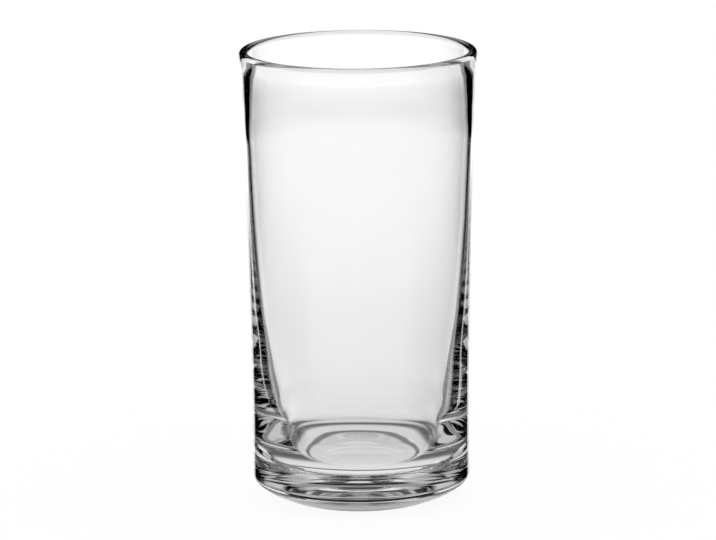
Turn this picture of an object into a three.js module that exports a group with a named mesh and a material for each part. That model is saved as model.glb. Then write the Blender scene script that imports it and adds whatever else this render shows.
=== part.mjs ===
// Clear glass tumbler: a tall, nearly straight drinking glass, blown in one piece and fire polished.
// Millimetres, +Z up. The origin is the centre of the plane that the glass stands on.
// One outline turned round the axis gives the whole solid: base, wall, rounded lip, and the hollow.
import * as THREE from "three";

// Overall sizes
const height = 140;
const rimDiameter = 73;
const neckDiameter = 69.8;
const bodyDiameter = 66.8;

// Lip: a full round bead, a little thicker than the wall below it
const lipThickness = 3;

// Outer wall: upright over the lower quarter, then a slow taper up to the neck, then the flare
const taperStart = 35;
const neckHeight = 106;
const flareHeight = 127;
const flareDiameter = 71.3;

// Wall thickness from the rim down: thinnest a little below the flare, heaviest at the base
const wallUnderLip = 3.2;
const wallAtFlare = 2.39;
const wallAtNeck = 1.81;
const wallAtMiddle = 2.07;
const wallAtBelly = 3.04;
const wallAtWaist = 4.39;
const wallAboveCorner = 5.93;
const wallAtCorner = 7.43;
const underLipHeight = 134;
const flareWallHeight = 122;
const neckWallHeight = 112;
const middleHeight = 85;
const bellyHeight = 60;
const waistHeight = 44;
const aboveCornerHeight = 30;

// Base: heavy glass between the dished floor of the hollow and the underside
const floorHeight = 11.4;
const floorDip = 1.1;
const cornerHeight = 11.6;
const cornerWidth = 8.97;

// Heel and underside: a broad rounding down to a narrow flat ring, with a shallow hollow inside it
const heelHeight = 7.6;
const heelWidth = 12.3;
const restingRingWidth = 1.2;
const puntDepth = 0.28;

// Fullness of the two roundings, as the reach of the curve at each of its ends
const heelFootShare = 0.06;
const heelTopShare = 0.54;
const cornerFloorShare = 0.73;
const cornerWallShare = 0.5;

// Facets
const sides = 64;
const wallSteps = 18;
const heelSteps = 7;
const lipSteps = 8;
const cornerSteps = 8;
const floorSteps = 4;
const puntSteps = 4;

// Height over which the lean of the inner wall is taken where the corner meets it
const leanSpan = 1;

const bodyRadius = bodyDiameter / 2;
const lipRadius = lipThickness / 2;
const lipCentreHeight = height - lipRadius;
const ringOuterRadius = bodyRadius - heelWidth;
const ringInnerRadius = ringOuterRadius - restingRingWidth;
const cornerTop = floorHeight + cornerHeight;

// Outer radius and wall thickness as stations of height and value, from the base up
const outerStations = [
  [heelHeight, bodyRadius],
  [taperStart, bodyRadius],
  [neckHeight, neckDiameter / 2],
  [flareHeight, flareDiameter / 2],
  [lipCentreHeight, rimDiameter / 2],
];
const wallStations = [
  [cornerTop, wallAtCorner],
  [aboveCornerHeight, wallAboveCorner],
  [waistHeight, wallAtWaist],
  [bellyHeight, wallAtBelly],
  [middleHeight, wallAtMiddle],
  [neckWallHeight, wallAtNeck],
  [flareWallHeight, wallAtFlare],
  [underLipHeight, wallUnderLip],
  [lipCentreHeight, lipThickness],
];

// Smooth value at a height, through the stations, with slopes taken from the neighbours of each.
function valueAt(stations, z) {
  const last = stations.length - 1;
  let k = 0;
  while (k < last - 1 && z > stations[k + 1][0]) k += 1;
  const slope = (i) => {
    const a = stations[Math.max(i - 1, 0)];
    const b = stations[Math.min(i + 1, last)];
    return (b[1] - a[1]) / (b[0] - a[0]);
  };
  const [z0, v0] = stations[k];
  const [z1, v1] = stations[k + 1];
  const span = z1 - z0;
  const u = (z - z0) / span;
  const bend = (slope(k) * (1 - u) - slope(k + 1) * u) * span * u * (1 - u);
  return v0 + (v1 - v0) * u * u * (3 - 2 * u) + bend;
}

const outerRadius = (z) => valueAt(outerStations, z);
const innerRadius = (z) => outerRadius(z) - valueAt(wallStations, z);

// Smooth corner that leaves its start along one direction and reaches its end along another.
function corner(start, startWay, end, endWay, startShare, endShare) {
  const startReach = Math.abs(end.x - start.x) * startShare;
  const endReach = Math.abs(end.y - start.y) * endShare;
  return new THREE.CubicBezierCurve(
    start,
    start.clone().addScaledVector(startWay, startReach),
    end.clone().addScaledVector(endWay, -endReach),
    end,
  );
}

// Underside, from the axis out to the resting ring: one shallow hollow.
function undersideOutline() {
  const points = [];
  for (let i = 0; i <= puntSteps; i += 1) {
    const share = i / puntSteps;
    points.push(new THREE.Vector2(ringInnerRadius * share, puntDepth * (1 - share * share)));
  }
  return points;
}

// Heel, from the resting ring up to the foot of the outer wall.
function heelOutline() {
  const start = new THREE.Vector2(ringOuterRadius, 0);
  const end = new THREE.Vector2(bodyRadius, heelHeight);
  const level = new THREE.Vector2(1, 0);
  const upright = new THREE.Vector2(0, 1);
  return corner(start, level, end, upright, heelFootShare, heelTopShare).getPoints(heelSteps);
}

// Wall heights between two levels, the ends left out.
function levelsBetween(low, high) {
  const inner = Array.from({ length: wallSteps - 1 }, (_, i) => (i + 1) / wallSteps);
  return inner.map((share) => low + (high - low) * share);
}

// Lip, from the outside over the top to the inside.
function lipOutline() {
  const points = [];
  const centre = outerRadius(lipCentreHeight) - lipRadius;
  for (let i = 0; i <= lipSteps; i += 1) {
    const angle = (Math.PI * i) / lipSteps;
    const x = centre + lipRadius * Math.cos(angle);
    points.push(new THREE.Vector2(x, lipCentreHeight + lipRadius * Math.sin(angle)));
  }
  return points;
}

// Corner between the inner wall and the floor, then the dished floor in to the axis.
function floorOutline() {
  const end = new THREE.Vector2(innerRadius(cornerTop), cornerTop);
  const start = new THREE.Vector2(end.x - cornerWidth, floorHeight);
  const floorWay = new THREE.Vector2(1, (2 * floorDip) / start.x);
  const wallWay = new THREE.Vector2((innerRadius(cornerTop + leanSpan) - end.x) / leanSpan, 1);
  const curve = corner(start, floorWay, end, wallWay, cornerFloorShare, cornerWallShare);
  const points = curve.getPoints(cornerSteps).reverse();
  for (let i = 1; i <= floorSteps; i += 1) {
    const share = 1 - i / floorSteps;
    points.push(new THREE.Vector2(start.x * share, floorHeight - floorDip * (1 - share * share)));
  }
  return points;
}

// The whole outline, from the middle of the underside round to the middle of the floor.
function tumblerOutline() {
  const outside = levelsBetween(heelHeight, lipCentreHeight).map((z) => new THREE.Vector2(outerRadius(z), z));
  const inside = levelsBetween(cornerTop, lipCentreHeight).map((z) => new THREE.Vector2(innerRadius(z), z));
  return [
    ...undersideOutline(),
    ...heelOutline(),
    ...outside,
    ...lipOutline(),
    ...inside.reverse(),
    ...floorOutline(),
  ];
}

// A lathe turns its outline round Y, so the solid is tipped up to stand on +Z.
const glassGeometry = new THREE.LatheGeometry(tumblerOutline(), sides).rotateX(Math.PI / 2);

const clearGlass = new THREE.MeshStandardMaterial({
  name: "clear_glass",
  color: 0xf4f7f7,
  roughness: 0.02,
  metalness: 0,
  transparent: true,
  opacity: 0.35,
});

const glass = new THREE.Mesh(glassGeometry, clearGlass);
glass.name = "tumbler_glass";

const tumbler = new THREE.Group();
tumbler.name = "tumbler";
tumbler.add(glass);

export default tumbler;
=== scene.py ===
"""Clear glass tumbler: a smooth blown-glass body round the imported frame, and the studio that shows it."""

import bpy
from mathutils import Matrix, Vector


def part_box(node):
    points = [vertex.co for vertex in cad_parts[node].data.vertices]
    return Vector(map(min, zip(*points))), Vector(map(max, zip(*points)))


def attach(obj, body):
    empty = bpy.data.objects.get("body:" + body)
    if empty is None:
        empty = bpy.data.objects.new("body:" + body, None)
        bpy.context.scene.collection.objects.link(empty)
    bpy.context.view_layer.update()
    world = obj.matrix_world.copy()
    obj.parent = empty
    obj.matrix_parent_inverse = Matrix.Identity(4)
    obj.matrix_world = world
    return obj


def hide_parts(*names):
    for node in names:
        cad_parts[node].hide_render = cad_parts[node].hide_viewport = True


bl_info = {
    "name": "Clear Glass Tumbler",
    "version": (1, 0, 0),
    "blender": (4, 5, 0),
    "location": "3D View > Sidebar > Tumbler",
    "description": "Builds a blown glass tumbler and a pale studio around its packed frame",
    "category": "Object",
}

import math

import bpy
from bpy.props import FloatProperty, FloatVectorProperty, PointerProperty
from mathutils import Matrix, Vector

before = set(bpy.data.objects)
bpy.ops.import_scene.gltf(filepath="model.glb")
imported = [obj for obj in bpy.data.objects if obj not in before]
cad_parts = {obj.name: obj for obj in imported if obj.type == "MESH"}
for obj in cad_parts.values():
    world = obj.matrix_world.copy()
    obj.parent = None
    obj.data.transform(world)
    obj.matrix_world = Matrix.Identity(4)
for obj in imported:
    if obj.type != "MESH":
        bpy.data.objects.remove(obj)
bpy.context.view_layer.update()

GLASS_NODE = "tumbler_glass"
BODY = "root"
LOW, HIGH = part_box(GLASS_NODE)

MM = 0.001
PHOTO_WIDTH = 716
PHOTO_HEIGHT = 540
SENSOR_WIDTH_MM = 36.0


def linear(hex_colour):
    """An sRGB hex value as a linear colour with full alpha."""
    channels = [int(hex_colour[i:i + 2], 16) / 255 for i in (1, 3, 5)]
    return tuple(c / 12.92 if c <= 0.04045 else ((c + 0.055) / 1.055) ** 2.4 for c in channels) + (1.0,)


def length(name, description, millimetres):
    """A length property, given in millimetres and kept in metres."""
    return FloatProperty(
        name=name, description=description, default=millimetres * MM, min=0.0, subtype="DISTANCE",
        unit="LENGTH",
    )


def angle(name, description, degrees):
    """An angle property, given in degrees."""
    return FloatProperty(
        name=name, description=description, default=math.radians(degrees), subtype="ANGLE"
    )


def share(name, description, value):
    """A share property, a plain number from 0 to 1."""
    return FloatProperty(
        name=name, description=description, default=value, min=0.0, max=1.0, subtype="FACTOR"
    )


class TumblerSizes(bpy.types.PropertyGroup):
    """Sizes of the glass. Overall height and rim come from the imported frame."""

    height: length("Height", "Resting plane to the top of the lip", (HIGH.z - LOW.z) / MM)
    rim_diameter: length("Rim diameter", "Outside of the lip", (HIGH.x - LOW.x) / MM)
    flare_diameter: length("Flare diameter", "Outside, half way up the flare", 71.3)
    neck_diameter: length("Neck diameter", "Outside, where the flare begins", 69.8)
    body_diameter: length("Body diameter", "Outside of the lower wall", 66.8)
    lip_thickness: length("Lip thickness", "Across the rounded lip", 3.0)
    flare_height: length("Flare height", "Height of the flare diameter", 127.0)
    neck_height: length("Neck height", "Height of the neck diameter", 106.0)
    taper_start: length("Taper start", "Height below which the wall is upright", 35.0)
    floor_height: length("Floor height", "Resting plane to the edge of the floor inside", 11.4)
    floor_dip: length("Floor dip", "Drop of the floor from its edge to its middle", 0.9)
    corner_height: length("Corner height", "Height of the rounding between floor and wall", 11.6)
    corner_width: length("Corner width", "Width of that rounding", 8.97)
    heel_height: length("Heel height", "Height of the rounding at the foot", 7.6)
    heel_width: length("Heel width", "Width of the rounding at the foot", 12.3)
    ring_width: length("Resting ring width", "Width of the flat ring the glass stands on", 1.2)
    punt_depth: length("Punt depth", "Depth of the shallow hollow in the underside", 0.28)


class BlownForm(bpy.types.PropertyGroup):
    """Slight unevenness of blown glass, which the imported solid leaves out."""

    hollow_right: length("Hollow right", "How far the foot of the hollow lies to the right of the axis", 0.4)
    hollow_back: length("Hollow back", "How far the foot of the hollow lies behind the axis", 0.9)
    shift_low: length("Shift low", "Height up to which the hollow is shifted in full", 14.0)
    shift_high: length("Shift high", "Height above which the hollow is true again", 44.0)
    ring_depth: length("Ring depth", "Depth of the fine rings round the lower wall", 0.02)
    ring_spacing: length("Ring spacing", "Height from one fine ring to the next", 2.4)
    ring_low: length("Ring low", "Height where the fine rings begin", 10.0)
    ring_middle: length("Ring middle", "Height where the fine rings are strongest", 24.0)
    ring_high: length("Ring high", "Height where the fine rings have gone", 55.0)
    waviness: length("Waviness", "Depth of the slow waves in the wall", 0.08)
    wave_size: length("Wave size", "Width of the slow waves in the wall", 30.0)
    foot_top: length("Foot top", "Height above which the outside is free to wave", 14.0)
    lip_foot: length("Lip foot", "Height above which the waves fade towards the lip", 118.0)
    lip_top: length("Lip top", "Height above which the lip is true", 134.0)


class GlassFinish(bpy.types.PropertyGroup):
    """Finish of the glass."""

    colour: FloatVectorProperty(
        name="Colour", description="Colour of the glass itself", size=4, default=linear("#fefefe"),
        subtype="COLOR",
    )
    depth_tint: FloatVectorProperty(
        name="Depth tint", description="Colour that thick glass takes on", size=4, default=linear("#e4e4ec"),
        subtype="COLOR",
    )
    depth_density: FloatProperty(
        name="Depth density", description="How fast the depth tint builds up, per metre", default=0.8, min=0.0
    )
    ior: FloatProperty(name="IOR", description="Refraction of soda-lime glass", default=1.52, min=1.0)
    roughness: share("Roughness", "Fire-polished glass is almost perfectly smooth", 0.0)


class StudioSettings(bpy.types.PropertyGroup):
    """Camera and studio."""

    floor_size: length("Floor size", "Edge of the square floor", 8000.0)
    # Reach of the painted glow and painted contact shadows that the glass sees on the paper, and the width
    # over which they fade
    painted_glow_radius: length("Painted glow radius", "How far from the axis the glass sees the lit paper under it", 38.0)
    painted_glow_fade: length("Painted glow fade", "Width over which that paper gives way to the studio", 8.0)
    shadow_share: share("Shadow share", "Part of the floor's light that a shadow can take away", 0.07)
    distance: length("Camera distance", "From the axis of the glass, level with the floor", 1668.9)
    camera_height: length("Camera height", "Above the resting plane", 425.6)
    pitch: angle("Pitch", "How far the camera looks down", 11.998)
    roll: angle("Roll", "Turn of the picture about its middle", -0.47)
    focal_px: FloatProperty(
        name="Focal length", description="In pixels of the photograph", default=5549.7, subtype="PIXEL"
    )
    centre_x: FloatProperty(name="Axis column", description="Pixel column of the lens axis", default=359.73)
    centre_y: FloatProperty(name="Axis row", description="Pixel row of the lens axis", default=270.5)


# Wall thickness in millimetres at heights in millimetres, from the base up
WALL_STATIONS_MM = (
    (23.0, 7.43),
    (30.0, 5.93),
    (44.0, 4.39),
    (60.0, 3.04),
    (85.0, 2.07),
    (112.0, 1.81),
    (122.0, 2.39),
    (134.0, 3.2),
)

# Fullness of the two roundings, as the reach of the curve at each of its ends
HEEL_FOOT_SHARE = 0.06
HEEL_TOP_SHARE = 0.54
CORNER_FLOOR_SHARE = 0.73
CORNER_WALL_SHARE = 0.5

# Facets
SIDES = 192
WALL_STEPS = 120
HEEL_STEPS = 28
LIP_STEPS = 24
CORNER_STEPS = 32
FLOOR_STEPS = 16
PUNT_STEPS = 16

# Points of the turned body closer together than this are one: the poles and the seam
WELD_METRES = 0.00001
# Step through the noise that gives the inner face waves of its own
INNER_WAVE_STEP = 7.0
WAVE_DETAIL = 1.0
# Inputs of the lathe's node tree, named after the settings that fill them
LATHE_LENGTHS = {key.replace("_", " ").capitalize(): key for key in BlownForm.__annotations__}

# The light that the glass sees. Each patch has a strength along the horizon and one from straight down to
# straight up, in stops of (degrees, strength), and a ramp holds its end values. The sweep counts its
# degrees from the front through the left, the back and the right. Every other patch counts them away from
# the back, to both sides.
FULL_TURN = 360.0
HALF_TURN = 180.0
# Brightest value of any ramp
PEAK = 2.0
# Lit paper sweep behind the glass, with black flags on both sides of it
SWEEP = (
    (
        (157.0, 0.0),
        (159.5, 1.25),
        (163.0, 1.4),
        (167.0, 1.3),
        (171.0, 1.18),
        (175.0, 1.12),
        (180.0, 1.1),
        (184.0, 1.08),
        (189.0, 1.05),
        (193.0, 1.08),
        (196.0, 1.14),
        (200.0, 1.1),
        (202.5, 0.0),
    ),
    (
        (0.0, 0.76),
        (60.0, 0.77),
        (66.0, 0.8),
        (70.0, 0.84),
        (74.0, 0.9),
        (78.0, 1.03),
        (82.0, 1.04),
        (84.0, 0.96),
        (86.0, 0.84),
        (88.0, 0.6),
        (90.0, 0.1),
        (94.0, 0.0),
    ),
)
# The other lights round the glass
LAMPS = {
    "floor light at the sides and in front": (
        ((40.0, 0.0), (46.0, 0.5), (56.0, 0.5), (70.0, 0.08), (110.0, 0.08), (125.0, 0.6)),
        ((0.0, 0.8), (60.0, 0.9), (68.0, 1.0), (72.0, 1.0), (75.0, 0.0)),
    ),
    "side panels": (
        ((58.0, 0.0), (66.0, 0.7), (112.0, 0.7), (120.0, 0.0)),
        ((89.0, 0.0), (93.0, 0.9), (112.0, 0.9), (116.0, 0.0)),
    ),
    "strip above the camera": (
        ((118.0, 0.0), (124.0, 0.6)),
        ((111.0, 0.0), (114.0, 1.0), (123.0, 1.0), (127.0, 0.0)),
    ),
    "hood, back": (
        ((55.0, 1.0), (65.0, 0.0)),
        ((110.0, 0.0), (114.0, 0.3), (138.0, 0.3), (142.0, 0.0)),
    ),
    "hood, sides": (
        ((55.0, 0.0), (65.0, 1.0), (115.0, 1.0), (125.0, 0.0)),
        ((124.0, 0.0), (128.0, 0.5), (153.0, 0.6), (168.0, 0.5), (180.0, 0.2)),
    ),
    "hood, front": (
        ((115.0, 0.0), (125.0, 1.0)),
        ((138.0, 0.0), (142.0, 1.0), (153.0, 1.0), (157.0, 0.05), (166.0, 0.05), (170.0, 0.2)),
    ),
    "small lamp overhead": (
        ((17.0, 1.0), (23.0, 0.0)),
        ((153.0, 0.0), (156.0, 0.7), (166.0, 0.7), (169.0, 0.1), (180.0, 0.2)),
    ),
}
# Pale walls of the room, seen only straight through the glass, so that it is clear from every side
ROOM = (
    ((31.0, 0.0), (36.0, 0.88), (180.0, 0.95)),
    ((0.0, 0.8), (60.0, 0.86), (80.0, 0.98), (100.0, 0.98), (114.0, 0.0)),
)
# Back wall above the sweep, seen only straight through both sides of the glass
BACK_WALL = (
    ((31.0, 0.98), (36.0, 0.0)),
    ((84.0, 0.0), (90.0, 0.98), (100.0, 0.98), (114.0, 0.0)),
)
# A ray with fewer mirrorings than this came straight through; with more passes than this, through both sides
MIRRORINGS = 0.5
PASSES = 3.5

# Painted glow on the paper under the glass, as the glass sees it: millimetres from the axis, strength
PAINTED_PAPER_LIGHT = (
    (0.0, 0.85),
    (19.4, 0.88),
    # Painted contact shadow under the resting ring
    (20.3, 0.25),
    (22.0, 0.25),
    (23.0, 0.85),
    (30.0, 0.75),
    # Painted contact shadow round the outside of the foot
    (33.5, 0.25),
    (37.0, 0.1),
    (39.0, 0.15),
    (41.0, 0.55),
)
PAPER_SPAN_MM = 100.0

WHITE = (1.0, 1.0, 1.0, 1.0)
# Enough bounces for the many reflections inside a heavy base
BOUNCES = 32
VIEW_END_METRES = 100.0


def value_at(stations, z):
    """Smooth value at a height, through stations of (height, value), slopes taken from their neighbours."""
    last = len(stations) - 1
    k = 0
    while k < last - 1 and z > stations[k + 1][0]:
        k += 1

    def slope(i):
        a, b = stations[max(i - 1, 0)], stations[min(i + 1, last)]
        return (b[1] - a[1]) / (b[0] - a[0])

    (z0, v0), (z1, v1) = stations[k], stations[k + 1]
    span = z1 - z0
    u = (z - z0) / span
    swing = (slope(k) * (1 - u) - slope(k + 1) * u) * span * u * (1 - u)
    return v0 + (v1 - v0) * u * u * (3 - 2 * u) + swing


def bend(start, start_way, end, end_way, shares, steps):
    """Points of a smooth corner that leaves its start along one direction and ends along another."""
    width, rise = abs(end[0] - start[0]), abs(end[1] - start[1])
    reach = width * shares[0], rise * shares[1]
    near = [start[i] + start_way[i] * reach[0] for i in (0, 1)]
    far = [end[i] - end_way[i] * reach[1] for i in (0, 1)]
    points = []
    for i in range(steps + 1):
        t = i / steps
        weights = (1 - t) ** 3, 3 * t * (1 - t) ** 2, 3 * t * t * (1 - t), t ** 3
        pulls = list(zip(weights, (start, near, far, end)))
        points.append(tuple(sum(w * p[k] for w, p in pulls) for k in (0, 1)))
    return points


def glass_outline(sizes):
    """Outline from the underside round to the floor: radius, height, and 0 outside to 1 inside."""
    body_radius = sizes.body_diameter / 2
    lip_radius = sizes.lip_thickness / 2
    lip_height = sizes.height - lip_radius
    ring_outer = body_radius - sizes.heel_width
    ring_inner = ring_outer - sizes.ring_width
    outer = (
        (sizes.heel_height, body_radius),
        (sizes.taper_start, body_radius),
        (sizes.neck_height, sizes.neck_diameter / 2),
        (sizes.flare_height, sizes.flare_diameter / 2),
        (lip_height, sizes.rim_diameter / 2),
    )
    wall = tuple((z * MM, w * MM) for z, w in WALL_STATIONS_MM) + ((lip_height, sizes.lip_thickness),)

    def inner_radius(z):
        return value_at(outer, z) - value_at(wall, z)

    points = []
    for i in range(PUNT_STEPS + 1):
        r = ring_inner * i / PUNT_STEPS
        points.append((r, sizes.punt_depth * (1 - (r / ring_inner) ** 2)))
    points += bend(
        (ring_outer, 0.0), (1.0, 0.0), (body_radius, sizes.heel_height), (0.0, 1.0),
        (HEEL_FOOT_SHARE, HEEL_TOP_SHARE), HEEL_STEPS,
    )
    for i in range(1, WALL_STEPS):
        z = sizes.heel_height + (lip_height - sizes.heel_height) * i / WALL_STEPS
        points.append((value_at(outer, z), z))
    outer_count = len(points)
    lip_middle = sizes.rim_diameter / 2 - lip_radius
    for i in range(LIP_STEPS + 1):
        turn = math.pi * i / LIP_STEPS
        points.append((lip_middle + lip_radius * math.cos(turn), lip_height + lip_radius * math.sin(turn)))
    corner_top = sizes.floor_height + sizes.corner_height
    for i in range(1, WALL_STEPS):
        z = lip_height + (corner_top - lip_height) * i / WALL_STEPS
        points.append((inner_radius(z), z))
    corner_radius = inner_radius(corner_top)
    floor_radius = corner_radius - sizes.corner_width
    lean = (inner_radius(corner_top + MM) - corner_radius) / MM
    corner = bend(
        (floor_radius, sizes.floor_height), (1.0, 2 * sizes.floor_dip / floor_radius),
        (corner_radius, corner_top), (lean, 1.0), (CORNER_FLOOR_SHARE, CORNER_WALL_SHARE), CORNER_STEPS,
    )
    points += corner[::-1]
    for i in range(1, FLOOR_STEPS + 1):
        inward = 1 - i / FLOOR_STEPS
        points.append((floor_radius * inward, sizes.floor_height - sizes.floor_dip * (1 - inward * inward)))
    over_lip = [(i - outer_count) / LIP_STEPS for i in range(len(points))]
    return [(r, z, min(1.0, max(0.0, part))) for (r, z), part in zip(points, over_lip)]


def add_node(tree, kind, settings=None, inputs=None):
    """Adds a node, sets its properties, and fills its inputs with values or links."""
    node = tree.nodes.new(kind)
    for key, value in (settings or {}).items():
        setattr(node, key, value)
    for key, value in (inputs or {}).items():
        if isinstance(value, bpy.types.NodeSocket):
            tree.links.new(value, node.inputs[key])
        else:
            node.inputs[key].default_value = value
    return node


def maths(tree, operation, *values):
    """The result of one maths node."""
    return add_node(tree, "ShaderNodeMath", {"operation": operation}, dict(enumerate(values))).outputs[0]


def fade(tree, value, start, end):
    """One at the start value and zero at the end value, smooth between them."""
    return add_node(
        tree, "ShaderNodeMapRange", {"interpolation_type": "SMOOTHSTEP"},
        {"Value": value, "From Min": start, "From Max": end, "To Min": 1.0, "To Max": 0.0},
    ).outputs[0]


def lathe_tree():
    """Geometry nodes that turn an outline round Z into one closed body, a little uneven like blown glass."""
    tree = bpy.data.node_groups.new("Blown lathe", "GeometryNodeTree")
    face = tree.interface
    face.new_socket("Geometry", in_out="INPUT", socket_type="NodeSocketGeometry")
    face.new_socket("Sides", in_out="INPUT", socket_type="NodeSocketInt")
    for name in LATHE_LENGTHS:
        face.new_socket(name, in_out="INPUT", socket_type="NodeSocketFloat")
    face.new_socket("Material", in_out="INPUT", socket_type="NodeSocketMaterial")
    face.new_socket("Geometry", in_out="OUTPUT", socket_type="NodeSocketGeometry")

    entry = add_node(tree, "NodeGroupInput").outputs
    count = add_node(tree, "GeometryNodeAttributeDomainSize", {"component": "MESH"}, {"Geometry": entry[0]})
    rings = maths(tree, "ADD", entry["Sides"], 1.0)
    grid = add_node(
        tree, "GeometryNodeMeshGrid", None,
        {"Size X": 1.0, "Size Y": 1.0, "Vertices X": count.outputs["Point Count"], "Vertices Y": rings},
    )
    index = add_node(tree, "GeometryNodeInputIndex").outputs[0]
    along = maths(tree, "FLOOR", maths(tree, "DIVIDE", index, rings))
    step = maths(tree, "DIVIDE", maths(tree, "MODULO", index, rings), entry["Sides"])
    turn = maths(tree, "MULTIPLY", step, math.tau)

    place = add_node(tree, "GeometryNodeInputPosition").outputs[0]
    named = add_node(
        tree, "GeometryNodeInputNamedAttribute", {"data_type": "FLOAT"}, {"Name": "inside"}
    ).outputs[0]
    outline = add_node(
        tree, "GeometryNodeSampleIndex", {"data_type": "FLOAT_VECTOR", "domain": "POINT"},
        {"Geometry": entry[0], "Value": place, "Index": along},
    ).outputs[0]
    inside = add_node(
        tree, "GeometryNodeSampleIndex", {"data_type": "FLOAT", "domain": "POINT"},
        {"Geometry": entry[0], "Value": named, "Index": along},
    ).outputs[0]
    round_z = {"rotation_type": "Z_AXIS"}
    across = (1.0, 0.0, 0.0)
    swung = add_node(tree, "ShaderNodeVectorRotate", round_z, {"Vector": outline, "Angle": turn}).outputs[0]
    outward = add_node(tree, "ShaderNodeVectorRotate", round_z, {"Vector": across, "Angle": turn}).outputs[0]
    axes = add_node(tree, "ShaderNodeSeparateXYZ", None, {"Vector": swung}).outputs
    outside = maths(tree, "SUBTRACT", 1.0, inside)

    low = maths(tree, "MULTIPLY", fade(tree, axes["Z"], entry["Shift low"], entry["Shift high"]), inside)
    level = maths(tree, "DIVIDE", axes["Z"], entry["Ring spacing"])
    swing = maths(tree, "SINE", maths(tree, "MULTIPLY", level, math.tau))
    swell = maths(tree, "MULTIPLY", swing, entry["Ring depth"])
    band = maths(
        tree, "SUBTRACT", fade(tree, axes["Z"], entry["Ring middle"], entry["Ring high"]),
        fade(tree, axes["Z"], entry["Ring low"], entry["Ring middle"]),
    )
    ripple = maths(tree, "MULTIPLY", maths(tree, "MULTIPLY", swell, band), outside)
    noise = add_node(
        tree, "ShaderNodeTexNoise", {"noise_dimensions": "4D"},
        {
            "Vector": swung,
            "W": maths(tree, "MULTIPLY", inside, INNER_WAVE_STEP),
            "Scale": maths(tree, "DIVIDE", 1.0, entry["Wave size"]),
            "Detail": WAVE_DETAIL,
        },
    ).outputs[0]
    wave = maths(tree, "MULTIPLY", maths(tree, "SUBTRACT", noise, 0.5), entry["Waviness"])
    free = maths(
        tree, "SUBTRACT", fade(tree, axes["Z"], entry["Lip foot"], entry["Lip top"]),
        maths(tree, "MULTIPLY", fade(tree, axes["Z"], 0.0, entry["Foot top"]), outside),
    )
    bulge = maths(tree, "ADD", ripple, maths(tree, "MULTIPLY", wave, maths(tree, "MAXIMUM", free, 0.0)))
    scaled = {"operation": "SCALE"}
    uneven = add_node(tree, "ShaderNodeVectorMath", scaled, {0: outward, "Scale": bulge}).outputs[0]
    slip = add_node(
        tree, "ShaderNodeCombineXYZ", None, {"X": entry["Hollow right"], "Y": entry["Hollow back"]}
    ).outputs[0]
    slipped = add_node(tree, "ShaderNodeVectorMath", scaled, {0: slip, "Scale": low}).outputs[0]
    moved = add_node(tree, "ShaderNodeVectorMath", {"operation": "ADD"}, {0: uneven, 1: slipped}).outputs[0]
    placed = add_node(
        tree, "GeometryNodeSetPosition", None,
        {"Geometry": grid.outputs["Mesh"], "Position": swung, "Offset": moved},
    )
    merged = add_node(
        tree, "GeometryNodeMergeByDistance", None, {"Geometry": placed.outputs[0], "Distance": WELD_METRES}
    )
    smooth = add_node(
        tree, "GeometryNodeSetShadeSmooth", None, {"Geometry": merged.outputs[0], "Shade Smooth": True}
    )
    real = add_node(tree, "GeometryNodeRealizeInstances", None, {"Geometry": smooth.outputs[0]})
    dressed = add_node(
        tree, "GeometryNodeSetMaterial", None, {"Geometry": real.outputs[0], "Material": entry["Material"]}
    )
    add_node(tree, "NodeGroupOutput", None, {0: dressed.outputs[0]})
    return tree


def set_input(modifier, tree, name, value):
    """Sets a geometry nodes input by its socket's identifier."""
    for item in tree.interface.items_tree:
        if item.in_out == "INPUT" and item.name == name:
            modifier[item.identifier] = value
            return
    raise RuntimeError(f"the tree has no input named {name}")


def clear_glass(finish):
    """Soda-lime glass, blown and fire polished: colourless, quite smooth, a breath of cool grey in depth."""
    material = bpy.data.materials.new("Soda-lime glass, fire polished")
    material.use_nodes = True
    tree = material.node_tree
    tree.nodes.clear()
    surface = add_node(
        tree, "ShaderNodeBsdfPrincipled", None,
        {
            "Base Color": finish.colour,
            "Roughness": finish.roughness,
            "IOR": finish.ior,
            "Transmission Weight": 1.0,
        },
    )
    depth = add_node(
        tree, "ShaderNodeVolumeAbsorption", None,
        {"Color": finish.depth_tint, "Density": finish.depth_density},
    )
    add_node(
        tree, "ShaderNodeOutputMaterial", None, {"Surface": surface.outputs[0], "Volume": depth.outputs[0]}
    )
    return material


class TUMBLER_OT_glass(bpy.types.Operator):
    """Turn the glass from its outline and give it clear glass"""

    bl_idname = "tumbler.glass"
    bl_label = "Glass"

    def execute(self, context):
        scene = context.scene
        outline = glass_outline(scene.tumbler_sizes)
        mesh = bpy.data.meshes.new("outline")
        edges = [(i, i + 1) for i in range(len(outline) - 1)]
        mesh.from_pydata([(r, 0.0, z) for r, z, _ in outline], edges, [])
        inside = mesh.attributes.new("inside", "FLOAT", "POINT")
        inside.data.foreach_set("value", [part for _, _, part in outline])
        lathe = bpy.data.objects.new("lathe", mesh)
        scene.collection.objects.link(lathe)
        tree = lathe_tree()
        modifier = lathe.modifiers.new("Lathe", "NODES")
        modifier.node_group = tree
        set_input(modifier, tree, "Sides", SIDES)
        for name, key in LATHE_LENGTHS.items():
            set_input(modifier, tree, name, getattr(scene.blown_form, key))
        set_input(modifier, tree, "Material", clear_glass(scene.glass_finish))
        evaluated = lathe.evaluated_get(context.evaluated_depsgraph_get())
        turned = bpy.data.meshes.new_from_object(evaluated)
        bpy.data.objects.remove(lathe)
        turned.flip_normals()
        glass = bpy.data.objects.new("blown_glass", turned)
        scene.collection.objects.link(glass)
        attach(glass, BODY)
        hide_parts(GLASS_NODE)
        return {"FINISHED"}


def ramp(tree, factor, stops, span):
    """A grey ramp through (place, value) stops; span is the place at the far end."""
    node = add_node(tree, "ShaderNodeValToRGB", None, {"Fac": factor})
    elements = node.color_ramp.elements
    elements.remove(elements[1])
    for number, (place, value) in enumerate(stops):
        element = elements.new(place / span) if number else elements[0]
        element.position = place / span
        element.color = (value / PEAK,) * 3 + (1.0,)
    return maths(tree, "MULTIPLY", node.outputs["Color"], PEAK)


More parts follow.
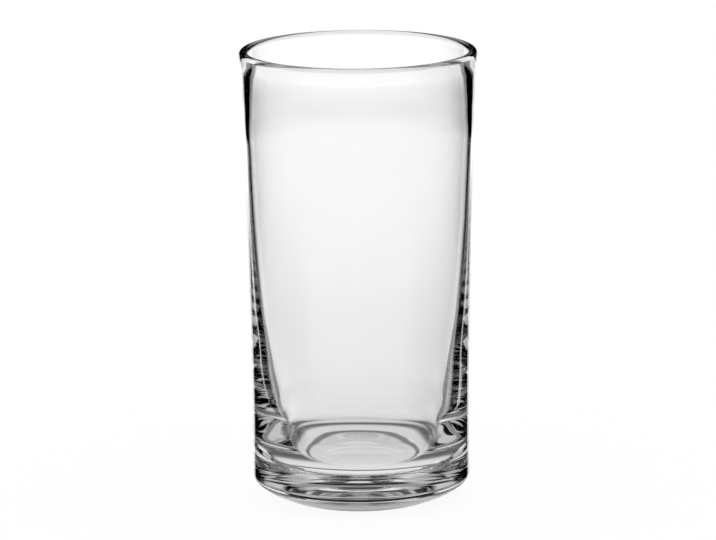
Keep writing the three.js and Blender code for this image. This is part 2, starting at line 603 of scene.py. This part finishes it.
def patch_of_light(tree, level, span, rise, patch):
    """Strength of one patch: its ramp along the horizon times its ramp from straight down to straight up."""
    level_stops, rise_stops = patch
    return maths(
        tree, "MULTIPLY", ramp(tree, level, level_stops, span), ramp(tree, rise, rise_stops, HALF_TURN)
    )


def seen_by_glass(tree):
    """One for a ray that comes off or through the glass, zero for a straight look or soft light."""
    path = add_node(tree, "ShaderNodeLightPath")
    return maths(tree, "MAXIMUM", path.outputs["Is Glossy Ray"], path.outputs["Is Transmission Ray"])


def studio_world():
    """White to a straight look; to the glass, a lit sweep, black flags, lamps, a hood and a pale room."""
    world = bpy.data.worlds.new("Studio")
    world.use_nodes = True
    tree = world.node_tree
    tree.nodes.clear()
    way = add_node(tree, "ShaderNodeTexCoord").outputs["Generated"]
    parts = add_node(tree, "ShaderNodeSeparateXYZ", None, {"Vector": way}).outputs
    turn = maths(tree, "ARCTAN2", parts["X"], parts["Y"])
    around = maths(tree, "ADD", maths(tree, "DIVIDE", turn, math.tau), 0.5)
    away = maths(tree, "DIVIDE", maths(tree, "ABSOLUTE", turn), math.pi)
    rise = maths(tree, "ADD", maths(tree, "DIVIDE", maths(tree, "ARCSINE", parts["Z"]), math.pi), 0.5)
    light = patch_of_light(tree, around, FULL_TURN, rise, SWEEP)
    for lamp in LAMPS.values():
        light = maths(tree, "ADD", light, patch_of_light(tree, away, HALF_TURN, rise, lamp))
    path = add_node(tree, "ShaderNodeLightPath").outputs
    unmirrored = maths(tree, "LESS_THAN", path["Glossy Depth"], MIRRORINGS)
    through_both = maths(tree, "GREATER_THAN", path["Transmission Depth"], PASSES)
    wall = maths(tree, "MULTIPLY", through_both, patch_of_light(tree, away, HALF_TURN, rise, BACK_WALL))
    room = maths(tree, "MAXIMUM", patch_of_light(tree, away, HALF_TURN, rise, ROOM), wall)
    light = maths(tree, "MAXIMUM", light, maths(tree, "MULTIPLY", unmirrored, room))
    strength = add_node(
        tree, "ShaderNodeMix", {"data_type": "FLOAT"}, {"Factor": seen_by_glass(tree), "A": 1.0, "B": light}
    )
    sky = add_node(tree, "ShaderNodeBackground", None, {"Color": WHITE, "Strength": strength.outputs[0]})
    add_node(tree, "ShaderNodeOutputWorld", None, {"Surface": sky.outputs[0]})
    return world


def floor_material(settings):
    """White paper: white to a straight look; the glass sees painted glow and painted contact shadows in its
    middle, then the studio.
    """
    material = bpy.data.materials.new("White matt paper with painted glow and shadow")
    material.use_nodes = True
    tree = material.node_tree
    tree.nodes.clear()
    place = add_node(tree, "ShaderNodeTexCoord").outputs["Object"]
    reach = add_node(tree, "ShaderNodeVectorMath", {"operation": "LENGTH"}, {0: place}).outputs["Value"]
    # Where the painted glow and painted shadows under the glass give way to the studio
    edge = add_node(
        tree, "ShaderNodeMapRange", {"interpolation_type": "SMOOTHSTEP"},
        {
            "Value": reach,
            "From Min": settings.painted_glow_radius,
            "From Max": settings.painted_glow_radius + settings.painted_glow_fade,
        },
    ).outputs[0]
    # Painted glow and painted contact shadows, an emission that only rays off or through the glass see
    lit = ramp(tree, maths(tree, "DIVIDE", reach, PAPER_SPAN_MM * MM), PAINTED_PAPER_LIGHT, PAPER_SPAN_MM)
    paper = add_node(tree, "ShaderNodeBsdfDiffuse", None, {"Color": (settings.shadow_share,) * 3 + (1.0,)})
    glow = add_node(
        tree, "ShaderNodeEmission", None, {"Color": WHITE, "Strength": 1.0 - settings.shadow_share}
    )
    straight = add_node(tree, "ShaderNodeAddShader", None, {0: paper.outputs[0], 1: glow.outputs[0]})
    under = add_node(tree, "ShaderNodeEmission", None, {"Color": WHITE, "Strength": lit})
    beyond = add_node(tree, "ShaderNodeBsdfTransparent")
    through = add_node(
        tree, "ShaderNodeMixShader", None, {0: edge, 1: under.outputs[0], 2: beyond.outputs[0]}
    )
    both = add_node(
        tree, "ShaderNodeMixShader", None,
        {0: seen_by_glass(tree), 1: straight.outputs[0], 2: through.outputs[0]},
    )
    add_node(tree, "ShaderNodeOutputMaterial", None, {"Surface": both.outputs[0]})
    return material


class TUMBLER_OT_studio(bpy.types.Operator):
    """Set the floor, the light and the camera"""

    bl_idname = "tumbler.studio"
    bl_label = "Studio"

    def execute(self, context):
        scene = context.scene
        settings = scene.studio_settings
        scene.view_settings.view_transform = "Standard"
        scene.cycles.max_bounces = BOUNCES
        scene.cycles.transmission_bounces = BOUNCES
        scene.cycles.glossy_bounces = BOUNCES
        scene.world = studio_world()

        mesh = bpy.data.meshes.new("floor")
        half = settings.floor_size / 2
        corners = [(-half, -half, 0), (half, -half, 0), (half, half, 0), (-half, half, 0)]
        mesh.from_pydata(corners, [], [(0, 1, 2, 3)])
        mesh.materials.append(floor_material(settings))
        floor = bpy.data.objects.new("floor", mesh)
        floor.location.z = LOW.z
        scene.collection.objects.link(floor)

        camera_data = bpy.data.cameras.new("Camera")
        camera = bpy.data.objects.new("Camera", camera_data)
        scene.collection.objects.link(camera)
        scene.camera = camera
        camera_data.sensor_width = SENSOR_WIDTH_MM
        camera_data.lens = settings.focal_px * SENSOR_WIDTH_MM / PHOTO_WIDTH
        camera_data.shift_x = (PHOTO_WIDTH / 2 - settings.centre_x) / PHOTO_WIDTH
        camera_data.shift_y = (settings.centre_y - PHOTO_HEIGHT / 2) / PHOTO_WIDTH
        camera_data.clip_end = VIEW_END_METRES
        place = Matrix.Translation(Vector((0.0, -settings.distance, settings.camera_height)))
        tilt = Matrix.Rotation(math.pi / 2 - settings.pitch, 4, "X")
        camera.matrix_world = place @ tilt @ Matrix.Rotation(settings.roll, 4, "Z")
        return {"FINISHED"}


class TUMBLER_PT_panel(bpy.types.Panel):
    """Lists the pieces and their settings"""

    bl_label = "Tumbler"
    bl_space_type = "VIEW_3D"
    bl_region_type = "UI"
    bl_category = "Tumbler"

    def draw(self, context):
        for operator in (TUMBLER_OT_glass, TUMBLER_OT_studio):
            self.layout.operator(operator.bl_idname)
        for key in GROUPS:
            group = getattr(context.scene, key)
            box = self.layout.box()
            for name in group.__annotations__:
                box.prop(group, name)


CLASSES = (
    TumblerSizes,
    BlownForm,
    GlassFinish,
    StudioSettings,
    TUMBLER_OT_glass,
    TUMBLER_OT_studio,
    TUMBLER_PT_panel,
)
GROUPS = {
    "tumbler_sizes": TumblerSizes,
    "blown_form": BlownForm,
    "glass_finish": GlassFinish,
    "studio_settings": StudioSettings,
}


def register():
    for cls in CLASSES:
        bpy.utils.register_class(cls)
    for name, group in GROUPS.items():
        setattr(bpy.types.Scene, name, PointerProperty(type=group))


def unregister():
    for name in GROUPS:
        delattr(bpy.types.Scene, name)
    for cls in reversed(CLASSES):
        bpy.utils.unregister_class(cls)


def main():
    register()
    bpy.ops.tumbler.glass()
    bpy.ops.tumbler.studio()


if __name__ == "__main__":
    main()
